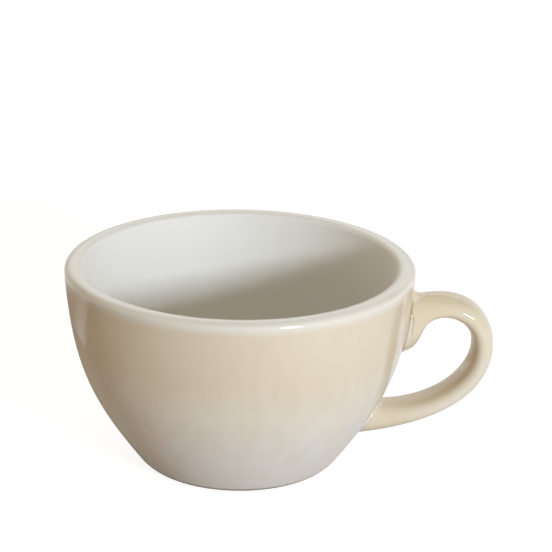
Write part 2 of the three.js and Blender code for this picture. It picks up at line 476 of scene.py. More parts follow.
# %% Colours and materials
def paint_colour(red, green, blue):
    """A screen colour, 0 to 255, as the linear colour that a shader wants, by the sRGB curve."""
    def linear(value):
        share = value / 255
        return share / 12.92 if share <= 0.04045 else ((share + 0.055) / 1.055) ** 2.4
    return (linear(red), linear(green), linear(blue), 1.0)


def grey(level):
    """A grey of a level from 0 to 1."""
    return (level, level, level, 1)


BLACK = grey(0)
WHITE = grey(1)
GLAZE_INDEX = 1.6


def new_finish(name):
    """An empty material, and a signal that starts its node tree."""
    material = bpy.data.materials.new(name)
    material.use_nodes = True
    material.node_tree.nodes.clear()
    return material, Signal(material.node_tree)


def shade(start, colour, roughness, waver=None):
    """Ends a material in a Principled shader, with a wavering normal if one is given."""
    inputs = {"Base Color": colour, "Roughness": roughness, "IOR": GLAZE_INDEX}
    if waver:
        inputs["Normal"] = waver
    shader = start.node("ShaderNodeBsdfPrincipled", inputs=inputs)
    start.node("ShaderNodeOutputMaterial", inputs={"Surface": shader})


print("white as a shader sees it:", paint_colour(255, 255, 255))

# %% Places on the cup
def cup_place(start, stretch=(1, 1, 1)):
    """The place on the cup in metres from the middle of its foot, with its axes stretched."""
    place = start.node("ShaderNodeTexCoord", output="Object")
    centred = {"Vector": place, "Location": (-CUP_AXIS * stretch[0], 0, 0), "Scale": stretch}
    return start.node("ShaderNodeMapping", inputs=centred)


def coordinate(start, place, axis):
    """One coordinate of a place: X, Y or Z."""
    return start.node("ShaderNodeSeparateXYZ", inputs={"Vector": place}, output=axis)


def height_share(start, place):
    """The height on the cup, 0 at the foot and 1 at the top of the lip."""
    return coordinate(start, place, "Z") / CUP_HEIGHT


def axis_distance(start):
    """The distance from the cup's upright axis."""
    flat = cup_place(start, (1, 1, 0))
    return start.node("ShaderNodeVectorMath", {"operation": "LENGTH"}, {0: flat}, "Value")


def stored_value(start, name):
    """A value that was stored on the mesh under a name."""
    return start.node("ShaderNodeAttribute", {"attribute_name": name}, output="Fac")


print("places are measured from x =", round(CUP_AXIS / MM, 2), "mm")

# %% Noise and mixing
NOISE_LOW = 0.3
NOISE_HIGH = 0.7


def clouds(start, place, size, detail=2.0):
    """Noise from 0 to 1 whose blobs are about a size across."""
    return start.node("ShaderNodeTexNoise", inputs={"Vector": place, "Scale": 1 / size, "Detail": detail})


def swing(noise):
    """Noise moved so that it swings about 0."""
    return noise - NOISE_MIDDLE


def uneven(limits, noise):
    """A value that follows noise from a low to a high limit."""
    low, high = limits
    return low + (high - low) * noise


def ripple(start, place, size, depth):
    """A normal that wavers as a glaze does, over blobs of a size and a depth."""
    height = clouds(start, place, size, detail=1.0)
    return start.node("ShaderNodeBump", inputs={"Height": height, "Strength": 1.0, "Distance": depth})


def ramp(start, factor, stops):
    """A colour that follows a factor through some stops."""
    return start.node("ShaderNodeValToRGB", {"stops": stops}, {0: factor})


def patchy(start, noise, first, second):
    """Patches of two colours that run into each other."""
    return ramp(start, noise, [(NOISE_LOW, first), (NOISE_HIGH, second)])


def mask(start, factor, low, high):
    """0 where a factor is under a low value, 1 where it is over a high one."""
    return ramp(start, factor, [(low, BLACK), (high, WHITE)])


def blend(start, factor, first, second):
    """A mix of two colours."""
    colours = {"Factor": factor, "A": first, "B": second}
    return start.node("ShaderNodeMix", {"data_type": "RGBA"}, colours, "Result")


print("noise shows as patches between", NOISE_LOW, "and", NOISE_HIGH)

# %% [markdown]
# ### Bare clay
# Only the foot ring shows bare clay. It is buff stoneware, dry and matt, sanded flat on a turning wheel, with
# fine dark specks. Specks are the peaks of a fine noise, and the sanding is a faint grain.

# %% Clay finish
CLAY_DARK = paint_colour(196, 178, 152)
CLAY_LIGHT = paint_colour(214, 199, 174)
CLAY_PATCH = 3 * MM
FLECK_BROWN = paint_colour(120, 98, 74)
FLECK_SIZE = 0.5 * MM
FLECK_PEAK = 0.72
FLECK_STRENGTH = 0.5
CLAY_ROUGHNESS = (0.82, 0.92)
CLAY_DUST = 2 * MM
CLAY_GRAIN = (0.4 * MM, 0.03 * MM)


def clay_finish():
    material, start = new_finish("buff_clay")
    place = cup_place(start)
    body = patchy(start, clouds(start, place, CLAY_PATCH), CLAY_DARK, CLAY_LIGHT)
    specks = clouds(start, place, FLECK_SIZE, detail=0.0)
    fleck = start.math("GREATER_THAN", specks, FLECK_PEAK)
    colour = blend(start, fleck * FLECK_STRENGTH, body, FLECK_BROWN)
    roughness = uneven(CLAY_ROUGHNESS, clouds(start, place, CLAY_DUST))
    shade(start, colour, roughness, ripple(start, place, *CLAY_GRAIN))
    return material


bare_clay = clay_finish()
print("clay nodes:", len(bare_clay.node_tree.nodes))

# %% [markdown]
# ### White liner glaze
# The liner is a soft white. Inside it is satin, and on the crown of the lip it is glossy. The crown is a
# little whiter, which is painted light on its upward face, and whiter still at the far side, also painted
# light. It turns warmer where it thins over the outer edge of the lip. All of that follows the distance from
# the cup's axis, given here as shares of the rim's radius.

# %% Liner finish
LINER_WHITE = paint_colour(235, 232, 226)
# painted light: the crown's upward face is whiter than the liner, for light from above
CROWN_LIGHT_WHITE = paint_colour(247, 245, 241)
# painted light: the far side of the crown is whiter still
FAR_SIDE_LIGHT_WHITE = paint_colour(254, 253, 251)
LIP_WHITE = paint_colour(236, 229, 217)
LINER_STOPS = [(0.86, LINER_WHITE), (0.91, CROWN_LIGHT_WHITE), (0.955, CROWN_LIGHT_WHITE), (0.99, LIP_WHITE)]
SATIN_TO_GLOSS = [(0.895, grey(0.7)), (0.93, grey(0.06))]
LIP_RANGE = (0.9, 0.94)
LINER_PATCH = 9 * MM
LINER_WANDER = 0.01
LINER_RIPPLE = (9 * MM, 0.03 * MM)


def liner_finish():
    material, start = new_finish("white_liner")
    place = cup_place(start)
    wander = LINER_WANDER * swing(clouds(start, place, LINER_PATCH))
    outwards = axis_distance(start) / RIM_RADIUS + wander
    on_lip = mask(start, outwards, *LIP_RANGE)
    # painted light: the crown is whitened towards the far side of the lip
    far_side_light = coordinate(start, place, "Y") / RIM_RADIUS
    colour = blend(start, on_lip * far_side_light, ramp(start, outwards, LINER_STOPS), FAR_SIDE_LIGHT_WHITE)
    roughness = ramp(start, outwards, SATIN_TO_GLOSS)
    shade(start, colour, roughness, ripple(start, place, *LINER_RIPPLE))
    return material


white_liner = liner_finish()
print("liner nodes:", len(white_liner.node_tree.nodes))

# %% [markdown]
# ### Beige outer glaze
# The outer glaze is beige below the lip and breaks to a pale, pinkish white near the foot, with soft upright
# streaks where it ran in the kiln. One ramp over the height holds those colours. Slow noise and noise that is
# stretched upright push the height up and down before the ramp, so that the borders are never level lines.
# The pale part reaches a little higher at the left, which is painted light for the light that the floor
# throws up onto the shaded side. A thin brown edge above the foot is partly where the coat ends and partly a
# painted contact shadow. Heights are shares of the cup's height.

# %% Outer glaze finish
BEIGE = paint_colour(229, 215, 191)
BEIGE_LOW = paint_colour(234, 225, 210)
FOOT_PALE = paint_colour(237, 233, 227)
# partly the coat's edge and partly a painted contact shadow against the floor
FOOT_EDGE_SHADOW_BROWN = paint_colour(152, 137, 118)
MOTTLE = paint_colour(214, 194, 166)
OUTER_STOPS = [
    (0.25, FOOT_PALE), (0.5, BEIGE_LOW), (0.68, BEIGE), (0.94, BEIGE), (0.965, LIP_WHITE),
]
# painted light: the pale foot colour rises higher on the shaded left side
LEFT_LIGHT_LIFT = 0.14
LIFT_END = 0.73
DRIFT_SIZE = 16 * MM
DRIFT_PUSH = 0.25
STREAK_SIZE = 3 * MM
STREAK_STRETCH = (1, 1, 0.2)
STREAK_PUSH = 0.2
STILL_HEIGHT = 1.05
MOTTLING = 0.28
MOTTLE_LEVEL = 0.8
BROWN_END = 0.02
BROWN_FADE = 0.012
OUTER_ROUGHNESS = (0.1, 0.16)
OUTER_RIPPLE = (7 * MM, 0.05 * MM)


def outer_finish():
    material, start = new_finish("beige_reactive_glaze")
    place = cup_place(start)
    height = height_share(start, place)
    drift = clouds(start, place, DRIFT_SIZE)
    streaks = clouds(start, cup_place(start, STREAK_STRETCH), STREAK_SIZE)
    # painted light: the pale colour reaches higher on the left, where the cup is in shade
    to_left = start.math("MINIMUM", coordinate(start, place, "X"), 0.0) / RIM_RADIUS
    below = start.math("MINIMUM", height - LIFT_END, 0.0)
    left_lit_height = height - LEFT_LIGHT_LIFT * to_left * below
    push = DRIFT_PUSH * swing(drift) + STREAK_PUSH * swing(streaks)
    pushed = left_lit_height + push * (STILL_HEIGHT - height)
    mottles = MOTTLING * (streaks + drift - MOTTLE_LEVEL)
    mottled = blend(start, mottles, ramp(start, pushed, OUTER_STOPS), MOTTLE)
    # a brown band at the bottom, partly the coat's edge and partly a painted contact shadow
    colour = blend(start, (height - BROWN_END) / BROWN_FADE, FOOT_EDGE_SHADOW_BROWN, mottled)
    shade(start, colour, uneven(OUTER_ROUGHNESS, drift), ripple(start, place, *OUTER_RIPPLE))
    return material


beige_outer = outer_finish()
print("outer glaze nodes:", len(beige_outer.node_tree.nodes))

# %% [markdown]
# ### Handle glaze
# The handle wears the same beige glaze, a little paler on its lower arm. Inside the loop it is darker, which
# is painted shade, and less glossy. The side that the loft stored tells which part of a section faces the
# loop.
# Near the wall the colour goes over to that of the roots.

# %% Handle finish
HANDLE_TOP = paint_colour(230, 215, 190)
HANDLE_GRIP = paint_colour(232, 219, 196)
HANDLE_PALE = paint_colour(238, 229, 215)
HANDLE_ROOT = paint_colour(230, 215, 189)
# painted shade: the inner face of the loop is darker, as it lies in shade
HANDLE_INNER_SHADE = paint_colour(219, 203, 173)
HANDLE_STOPS = [(0.2, HANDLE_PALE), (0.6, HANDLE_GRIP), (0.85, HANDLE_TOP)]
ROOT_RADIUS = 42 * MM
ROOT_FADE = 15 * MM
INNER_SHADE_START = -0.5
INNER_SHADE_FADE = 0.4
MATT_START = -0.4
MATT_GROWTH = 0.2
HANDLE_PATCH = 9 * MM
HANDLE_PUSH = 0.2
HANDLE_ROUGHNESS = (0.06, 0.1)
HANDLE_RIPPLE = (12 * MM, 0.02 * MM)


def handle_finish():
    material, start = new_finish("beige_handle_glaze")
    place = cup_place(start)
    drift = clouds(start, place, HANDLE_PATCH)
    arm = ramp(start, height_share(start, place) + HANDLE_PUSH * swing(drift), HANDLE_STOPS)
    outer_side = stored_value(start, "outer_side")
    # painted shade on the inner face of the loop
    shaded_loop = blend(start, (INNER_SHADE_START - outer_side) / INNER_SHADE_FADE, arm, HANDLE_INNER_SHADE)
    from_root = (axis_distance(start) - ROOT_RADIUS) / ROOT_FADE
    colour = blend(start, from_root, HANDLE_ROOT, shaded_loop)
    matter = MATT_GROWTH * start.math("MAXIMUM", MATT_START - outer_side, 0.0)
    roughness = uneven(HANDLE_ROUGHNESS, drift) + matter
    shade(start, colour, roughness, ripple(start, place, *HANDLE_RIPPLE))
    return material


beige_handle = handle_finish()
print("handle glaze nodes:", len(beige_handle.node_tree.nodes))

# %% [markdown]
# ### Joint and well glazes
# In the creases of the joints the glaze pools thick and pale. The pale stripe is partly that pooled glaze and
# partly a painted reflection of the bright backdrop in the hollow. The brown lines beside it and along the
# crease are painted shade. How much of each there is is stored on the joints' meshes when they are made. The
# well under the foot has a thin coat of the pale glaze.

# %% Joint and well finishes
# pooled glaze, partly a painted reflection of the bright backdrop in the hollow
POOL_AND_REFLECTION_WHITE = paint_colour(226, 224, 220)
# painted shade in the crease of the joints
CREASE_SHADE_BROWN = paint_colour(166, 140, 104)
JOINT_PATCH = 4 * MM
JOINT_ROUGHNESS = (0.06, 0.11)
WELL_BEIGE = paint_colour(214, 204, 190)
WELL_PATCH = 8 * MM
WELL_ROUGHNESS = (0.14, 0.22)
WELL_RIPPLE = (5 * MM, 0.05 * MM)


def joint_finish():
    # this finish holds pooled glaze, a painted reflection in the hollow and painted shade in the crease
    material, start = new_finish("pooled_glaze")
    place = cup_place(start)
    wall_colour = ramp(start, height_share(start, place), OUTER_STOPS)
    between = blend(start, stored_value(start, "side"), wall_colour, HANDLE_ROOT)
    # a pale stripe, partly pooled glaze and partly a painted reflection
    pooled_and_reflected = blend(start, stored_value(start, "pool"), between, POOL_AND_REFLECTION_WHITE)
    # painted shade: brown lines along the crease and at the end on the handle
    colour = blend(start, stored_value(start, "burn"), pooled_and_reflected, CREASE_SHADE_BROWN)
    shade(start, colour, uneven(JOINT_ROUGHNESS, clouds(start, place, JOINT_PATCH)))
    return material


def well_finish():
    material, start = new_finish("pale_well_glaze")
    place = cup_place(start)
    drift = clouds(start, place, WELL_PATCH)
    colour = patchy(start, drift, FOOT_PALE, WELL_BEIGE)
    shade(start, colour, uneven(WELL_ROUGHNESS, drift), ripple(start, place, *WELL_RIPPLE))
    return material


pooled_glaze = joint_finish()
pale_well = well_finish()
print("finishes:", ", ".join(sorted(material.name for material in bpy.data.materials)))

# %% [markdown]
# ## The bowl
# The clay runs from the middle of the well, under the foot ring, up the wall, over the lip and down to the
# middle of the floor. The coats are thin shells on it: two offset copies of one stretch of profile, joined at
# their ends. The edge of the well's coat is rounded, as surface tension draws it.

# %% Clay body
def rounded_corner(before, corner, after, radius):
    """A corner of a profile, rounded over a radius along both sides."""
    first = corner + (before - corner).normalized() * radius
    last = corner + (after - corner).normalized() * radius
    return walk([first, corner, last], EDGE_STEPS // 2)


ring_inside_corner = Vector((ring_inner, 0))
ring_outside_corner = Vector((ring_outer, 0))
clay_well = well_profile(0)
clay_outside = outside_profile(CLAY_DEPTH)
clay_inside = inside_profile(CLAY_DEPTH)
clay_profile = [
    *clay_well[:-2],
    *rounded_corner(clay_well[-2], ring_inside_corner, ring_outside_corner, RING_CORNER),
    ring_outside_corner,
    *clay_outside[:-1],
    *clay_inside,
]
clay_body = turned_piece("clay_body", clay_profile, bare_clay)
seat(clay_body, "cup_body")

# %% Glaze coats on the bowl
def round_edge(outer, inner):
    """Half a circle from one face of a coat to the other, without its ends."""
    middle = (outer + inner) / 2
    arm = outer - middle
    out = Vector((arm.y, -arm.x))
    angles = [math.pi * i / EDGE_STEPS for i in range(1, EDGE_STEPS)]
    return [middle + arm * math.cos(angle) - out * math.sin(angle) for angle in angles]


def shell(profile):
    """The closed outline of a coat: along a profile, back along it under the glaze, and to its start."""
    face = profile(0)
    return [*face, *profile(GLAZE)[::-1], face[0]]


outer_coat = turned_piece("outer_glaze_coat", shell(outside_profile), beige_outer)
seat(outer_coat, "outer_glaze")
liner_coat = turned_piece("liner_glaze_coat", shell(inside_profile), white_liner)
seat(liner_coat, "liner_glaze")

WELL_SEAM = 0.05 * MM
well_face = well_profile(-CLAY_DEPTH)
well_back = well_profile(-WELL_SEAM)[::-1]
well_edge = round_edge(well_face[-1], well_back[0])
well_coat = turned_piece("well_glaze_coat", [*well_face, *well_edge, *well_back], pale_well)
seat(well_coat, "well_glaze")

# %% [markdown]
# ## The handle
# The handle is drawn by its edges in the plane of the loop, as a maker would draw it for the mould: the top
# edge, the outer edge below the grip, and an inner edge in three parts. Under the upper root the inner edge
# flares to a nose, then turns in at the waist and runs round the finger hole. Ovals a little squarer than
# ellipses span the edges. Along the upper arm the two edges are walked at different speeds, because the inner
# one has further to go near the wall.

# %% Handle sizes
HANDLE_THICKNESS = 5.65 * MM
UPPER_ROOT_WIDTH = 11.2 * MM
GRIP_WIDTH = 13.1 * MM
LOWER_ROOT_WIDTH = 11 * MM
SECTION_SQUARENESS = 2.3
SECTION_TRIM = 0.36 * MM
GRIP_DROP = 22.3 * MM
TOP_EDGE_DROP = 9.55 * MM
TOP_EDGE_RISE = 15.2
TOP_EDGE_PULL = 19.6 * MM
NOSE_DROP = 25.15 * MM
NOSE_PULL = 8.9 * MM
WAIST_DROP = 17.8 * MM
WAIST_REACH = 4.5 * MM
WAIST_RISE = 73
WAIST_NOSE_PULL = 4.7 * MM
WAIST_LOOP_PULL = 6.4 * MM
WAIST_SHARE = 0.18
GRIP_OUTER_RISE_PULL = 9.7 * MM
GRIP_OUTER_FALL_PULL = 15.45 * MM
GRIP_INNER_RISE_PULL = 8.9 * MM
GRIP_INNER_FALL_PULL = 8.9 * MM
LOWER_ROOT_BOTTOM = 5.75 * MM
BOTTOM_EDGE_RISE = 5.7
BOTTOM_EDGE_PULL = 24 * MM
LOWER_ROOT_TOP = 16.0 * MM
INNER_EDGE_RISE = -8.6
INNER_EDGE_PULL = 17.8 * MM
ROOT_EMBED = 4 * MM
print("handle section at the grip:", round(GRIP_WIDTH / MM, 1), "by", round(HANDLE_THICKNESS / MM, 1), "mm")

# %% Handle edges
def root_point(height):
    """Where an edge starts, inside the wall."""
    return Vector((wall_radius(height) - ROOT_EMBED, height))


def edge_curve(start, start_step, end, end_step):
    """The knots of an edge that leaves its ends along two steps."""
    return [start, start + start_step, end + end_step, end]


grip_height = CUP_HEIGHT - GRIP_DROP
grip_outer = Vector((RIM_RADIUS + HANDLE_REACH, grip_height))
grip_inner = grip_outer - Vector((HANDLE_THICKNESS, 0))
waist_height = CUP_HEIGHT - WAIST_DROP
waist = Vector((wall_radius(waist_height) + WAIST_REACH, waist_height))

top_edge = edge_curve(
    root_point(CUP_HEIGHT - TOP_EDGE_DROP), heading(TOP_EDGE_RISE, TOP_EDGE_PULL),
    grip_outer, Vector((0, GRIP_OUTER_RISE_PULL)),
)
bottom_edge = edge_curve(
    grip_outer, Vector((0, -GRIP_OUTER_FALL_PULL)),
    root_point(LOWER_ROOT_BOTTOM), heading(BOTTOM_EDGE_RISE, BOTTOM_EDGE_PULL),
)
nose_edge = edge_curve(
    root_point(CUP_HEIGHT - NOSE_DROP), Vector((NOSE_PULL, 0)),
    waist, heading(WAIST_RISE, -WAIST_NOSE_PULL),
)
loop_edge = edge_curve(
    waist, heading(WAIST_RISE, WAIST_LOOP_PULL),
    grip_inner, Vector((0, GRIP_INNER_RISE_PULL)),
)
arm_edge = edge_curve(
    grip_inner, Vector((0, -GRIP_INNER_FALL_PULL)),
    root_point(LOWER_ROOT_TOP), heading(INNER_EDGE_RISE, INNER_EDGE_PULL),
)
print("grip stands", round(grip_height / MM, 1), "mm above the table")

# %% Handle sections
UPPER_STEPS = 96
LOWER_STEPS = 72
HANDLE_SIDES = 96
waist_turn = math.sqrt(WAIST_SHARE)


def upper_section(share):
    """Outer point, inner point and width at a share of the upper arm, from the wall to the grip."""
    outer = curve_point(top_edge, share ** 2)
    if share < waist_turn:
        inner = curve_point(nose_edge, share / waist_turn)
    else:
        inner = curve_point(loop_edge, (share - waist_turn) / (1 - waist_turn))
    return outer, inner, UPPER_ROOT_WIDTH + (GRIP_WIDTH - UPPER_ROOT_WIDTH) * share


def lower_section(share):
    """Outer point, inner point and width at a share of the lower arm, from the grip to the wall."""
    width = GRIP_WIDTH + (LOWER_ROOT_WIDTH - GRIP_WIDTH) * share ** 2
    return curve_point(bottom_edge, share), curve_point(arm_edge, share), width


def station(section, margin=0.0):
    """A section as the loft wants it: middle, reach and half width, grown by a margin."""
    outer, inner, width = section
    middle = (outer + inner) / 2
    reach = outer - middle
    lying = abs(reach.y) / reach.length
    reach *= 1 + (margin - SECTION_TRIM * lying) / reach.length
    return (CUP_AXIS + middle.x, 0, middle.y), (reach.x, 0, reach.y), width / 2 + margin


handle_sections = [
    *[upper_section(i / UPPER_STEPS) for i in range(UPPER_STEPS)],
    *[lower_section(i / LOWER_STEPS) for i in range(LOWER_STEPS + 1)],
]


def handle_stations(margin):
    """All stations of the handle, closed at both ends by a station of no size."""
    stations = [station(section, margin) for section in handle_sections]
    ends = [(stations[i][0], (0, 0, 0), 0) for i in (0, -1)]
    return [ends[0], *stations, ends[1]]


handle_clay = loft_piece(
    "handle_clay", handle_stations(-CLAY_DEPTH), bare_clay, HANDLE_SIDES, SECTION_SQUARENESS,
)
seat(handle_clay, "handle")
handle_coat = loft_piece(
    "handle_glaze_coat", handle_stations(0), beige_handle, HANDLE_SIDES, SECTION_SQUARENESS,
)
seat(handle_coat, "handle_glaze")

# %% [markdown]
# ## The slip joints
# Where the handle meets the wall, slip was smoothed into the corner and the glaze pooled over it, so the
# corner is a small hollow fillet. Each line along the handle is followed until it leaves the wall. From that
# point a curve runs out along the wall on one side and out along the handle on the other. A ring of such
# curves, with a hidden back, is the fillet.

# %% Joint lines
FILLET_SIDES = 144
FILLET_STEPS = 16
FILLET_BACK = 0.5 * MM
FILLET_LIFT = 0.05 * MM
LINE_STEP = 0.002


def section_point(section, turn):
    """The point on a section's oval at a turn."""
    middle, reach, half_width = station(section)
    across = squared(math.cos(turn), SECTION_SQUARENESS)
    side = squared(math.sin(turn), SECTION_SQUARENESS)
    return Vector(middle) + Vector(reach) * across + Vector((0, half_width * side, 0))


def outside_wall(point):
    """How far a point lies outside the glazed wall."""
    return math.hypot(point.x - CUP_AXIS, point.y) - wall_radius(point.z)


def leaving_wall(section_at, turn):
    """The share of an arm, before its half, at which its line at a turn comes out of the wall."""
    return halved(0.0, 0.5, lambda share: outside_wall(section_point(section_at(share), turn)) < 0)


def along_line(section_at, turn, share, length):
    """The point on an arm's line a length beyond a share of it."""
    last = section_point(section_at(share), turn)
    walked = 0.0
    while walked < length:
        share += LINE_STEP
        point = section_point(section_at(share), turn)
        walked += (point - last).length
        last = point
    return last


def on_wall(point):
    """A point moved level to the glazed wall."""
    flat = Vector((point.x - CUP_AXIS, point.y, 0)).normalized() * wall_radius(point.z)
    return Vector((CUP_AXIS + flat.x, flat.y, point.z))


def wall_normal(point):
    """The outward direction of the wall at a point on it."""
    rise = 0.1 * MM
    slope = (wall_radius(point.z + rise) - wall_radius(point.z - rise)) / (2 * rise)
    level = Vector((point.x - CUP_AXIS, point.y, 0)).normalized()
    return (level - Vector((0, 0, slope))).normalized()


print("the handle's top line leaves the wall at share", round(leaving_wall(upper_section, 0.0), 3))

# %% Fillets
# the width of the painted shade lines and of the stripe's fades
SHADE_LINE_WIDTH = 0.28 * MM
BACK_SIDE = 0.5
NO_CREASE = (0, 0)


def around(turn, values):
    """A value at a turn, from values spread evenly between an arm's outer and inner edge."""
    spot = math.acos(math.cos(turn)) / math.pi * (len(values) - 1)
    before = min(int(spot), len(values) - 2)
    share = spot - before
    return values[before] + (values[before + 1] - values[before]) * share * share * (3 - 2 * share)


def edge_share(distance):
    """0 within half a shade line's width of an edge, rising to 1 at one and a half widths."""
    return min(max(distance / SHADE_LINE_WIDTH - 0.5, 0), 1)


def fillet(name, section_at, finish, on_bowl, on_handle, pool, pool_and_reflection_width, burn,
           crease_shade=NO_CREASE, crease_out=NO_CREASE):
    """A ring of hollow curves in the corner between the wall and one end of the handle.

    Each tuple runs from the arm's outer to its inner edge. on_bowl and on_handle are the lengths of the
    curve's legs in millimetres. pool is how white the glaze is near the end on the handle, within
    pool_and_reflection_width: pooled glaze, partly a painted reflection. burn is how brown that end is, and
    crease_shade how brown the crease is at crease_out millimetres from the corner; both are painted shade."""
    turns = [math.tau * i / FILLET_SIDES for i in range(FILLET_SIDES)]
    shares = [leaving_wall(section_at, turn) for turn in turns]
    corners = [section_point(section_at(share), turn) for share, turn in zip(shares, turns)]
    centre = sum(corners, Vector()) / FILLET_SIDES
    rows, pool_and_reflection_values, end_shades, sides = [], [], [], []
    for i, (corner, turn) in enumerate(zip(corners, turns)):
        tangent = corners[(i + 1) % FILLET_SIDES] - corners[i - 1]
        normal = wall_normal(corner)
        away = tangent.cross(normal).normalized()
        if away.dot(corner - centre) < 0:
            away.negate()
        first = on_wall(corner + away * around(turn, on_bowl) * MM) + normal * FILLET_LIFT
        last = along_line(section_at, turn, shares[i], around(turn, on_handle) * MM)
        curve = walk([first, corner, last], FILLET_STEPS)
        inward = (corner - (first + last) / 2).normalized()
        rows.append([*curve, corner + inward * FILLET_BACK])
        sides.extend([*[j / FILLET_STEPS for j in range(FILLET_STEPS + 1)], BACK_SIDE])
        out = (last - corner).normalized()
        for point in rows[-1]:
            # painted shade: a brown line along the crease, crease_out from the corner
            beyond = out.dot(point - corner) - around(turn, crease_out) * MM
            crease_shade_level = around(turn, crease_shade) * (1 - edge_share(abs(beyond)))
            to_end = (point - last).length
            from_end = edge_share(to_end)
            inside = min(from_end, edge_share((point - first).length))
            if to_end > pool_and_reflection_width:
                inside = 0.0
            # the pale stripe is pooled glaze and partly a painted reflection; the brown end is painted shade
            pool_and_reflection_values.append(around(turn, pool) * min(inside, 1 - crease_shade_level))
            end_shades.append(max(crease_shade_level, around(turn, burn) * (1 - from_end)))
    return ring_piece(name, rows, {"pool": pool_and_reflection_values, "burn": end_shades, "side": sides}, finish)


def ring_piece(name, rows, stored, finish):
    """A closed ring of equal rows of points, with some values stored on them."""
    count = len(rows[0])
    faces = [
        (i * count + j, i * count + (j + 1) % count,
         (i + 1) % len(rows) * count + (j + 1) % count, (i + 1) % len(rows) * count + j)
        for i in range(len(rows)) for j in range(count)
    ]
    mesh = bpy.data.meshes.new(name)
    mesh.from_pydata([point for row in rows for point in row], [], faces)
    mesh.materials.append(finish)
    for label, values in stored.items():
        mesh.attributes.new(label, "FLOAT", "POINT").data.foreach_set("value", values)
    mesh.shade_smooth()
    volume = clean(mesh)
    print(f"{name}: {len(mesh.polygons)} faces, {volume / MM ** 3:.1f} cubic mm")
    return add_object(name, mesh)


def lower_from_wall(share):
    """The lower arm walked from the wall to the grip."""
    return lower_section(1 - share)


# The pale stripes are partly a painted reflection, and the brown lines are painted shade.
upper_fillet = fillet(
    "upper_slip_fillet", upper_section, pooled_glaze,
    on_bowl=(3.6, 0.6, 0.4, 0.5, 1.9),
    on_handle=(5.0, 0.4, 1.85, 3.0, 3.4),
    pool=(0.45, 0, 0.8, 1, 0.8),
    pool_and_reflection_width=3 * MM,
    burn=(0, 0.25, 0.9, 1, 0.9),
    crease_shade=(0, 0.9, 0.65, 0.65, 0.3),
    crease_out=(0.2, 0.2, 0.45, 0.5, 0.5),
)
seat(upper_fillet, "upper_handle_slip")
lower_fillet = fillet(
    "lower_slip_fillet", lower_from_wall, pooled_glaze,
    on_bowl=(0.3, 0.6, 0.8, 1.6, 3.0),
    on_handle=(0.9, 1.45, 1.35, 1.1, 3.4),
    pool=(0.8, 1, 1, 0.9, 0.3),
    pool_and_reflection_width=0.9 * MM,
    burn=(0.9, 0.8, 0.3, 0, 0),
)
seat(lower_fillet, "lower_handle_slip")

# %% [markdown]
# ## Floor
# The cup stands on a floor that the camera sees as white. A white floor in a render is either overlit or
# painted white. Here it glows white for the camera, and a small share of real shading stays, so that the
# cup's shadow still shows. The light that it throws back onto the cup is that of warm sand. What the glaze
# mirrors is sand with a glow that grows to the right, a bright card at the left with a sharp near edge, and a
# bright stretch far behind the cup.

# %% Floor
FLOOR_SIZE = 4.0
FLOOR_COLOUR = (0.52, 0.45, 0.375, 1)
FLOOR_GLOW = 0.9
SHADOW_GREY = grey(0.26)
GLOSSY_GLOW_LEFT = 0.12
GLOSSY_GLOW_RIGHT = 0.68
GLOW_START = -0.03
GLOW_SPREAD = 0.09
CARD_PLACE = (-0.128, 0.052, 0)
CARD_SIZE = (0.06, 0.044, 1)
CARD_GLOW = 0.48
CARD_HALF = 0.5
CARD_STOPS = [(0.0, BLACK), (0.06, WHITE), (0.4, WHITE), (1.0, BLACK)]
FAR_GLOW = 0.88
FAR_START = 0.135
FAR_SPREAD = 0.03


def ray_kind(start, label):
    """1 for the rays of a kind, else 0."""
    return start.node("ShaderNodeLightPath", output=label)


def straight_rays(start):
    """1 for the rays by which the camera sees a thing, also through glass, else 0."""
    return ray_kind(start, "Is Camera Ray") + ray_kind(start, "Is Transmission Ray")


def mix_shaders(start, factor, first, second):
    """A mix of two shaders."""
    return start.node("ShaderNodeMixShader", inputs={0: factor, 1: first, 2: second})


def clamped(start, value):
    """A value kept between 0 and 1."""
    return start.math("MINIMUM", start.math("MAXIMUM", value, 0.0), 1.0)


def mirrored_glow(start):
    """How much of the glow the glaze mirrors, by the place on the floor."""
    place = start.node("ShaderNodeTexCoord", output="Object")
    right_glow = clamped(start, (coordinate(start, place, "X") - GLOW_START) / GLOW_SPREAD)
    card = start.node("ShaderNodeMapping", {"vector_type": "TEXTURE"}, {
        "Vector": place, "Location": CARD_PLACE, "Scale": CARD_SIZE,
    })
    along_card = start.math("ABSOLUTE", coordinate(start, card, "X"))
    across_card = coordinate(start, card, "Y") + CARD_HALF
    on_card = start.math("LESS_THAN", along_card, CARD_HALF)
    card_glow = on_card * ramp(start, across_card, CARD_STOPS)
    ends = {0: place, 1: (CUP_AXIS, 0, 0)}
    from_cup = start.node("ShaderNodeVectorMath", {"operation": "DISTANCE"}, ends, "Value")
    near_edge = CARD_PLACE[1] - CARD_SIZE[1] / 2
    behind_edge = start.math("GREATER_THAN", coordinate(start, place, "Y"), near_edge)
    far_glow = behind_edge * clamped(start, (from_cup - FAR_START) / FAR_SPREAD)
    brightest = start.math("MAXIMUM", GLOSSY_GLOW_RIGHT * right_glow, CARD_GLOW * card_glow)
    return GLOSSY_GLOW_LEFT + start.math("MAXIMUM", brightest, FAR_GLOW * far_glow)


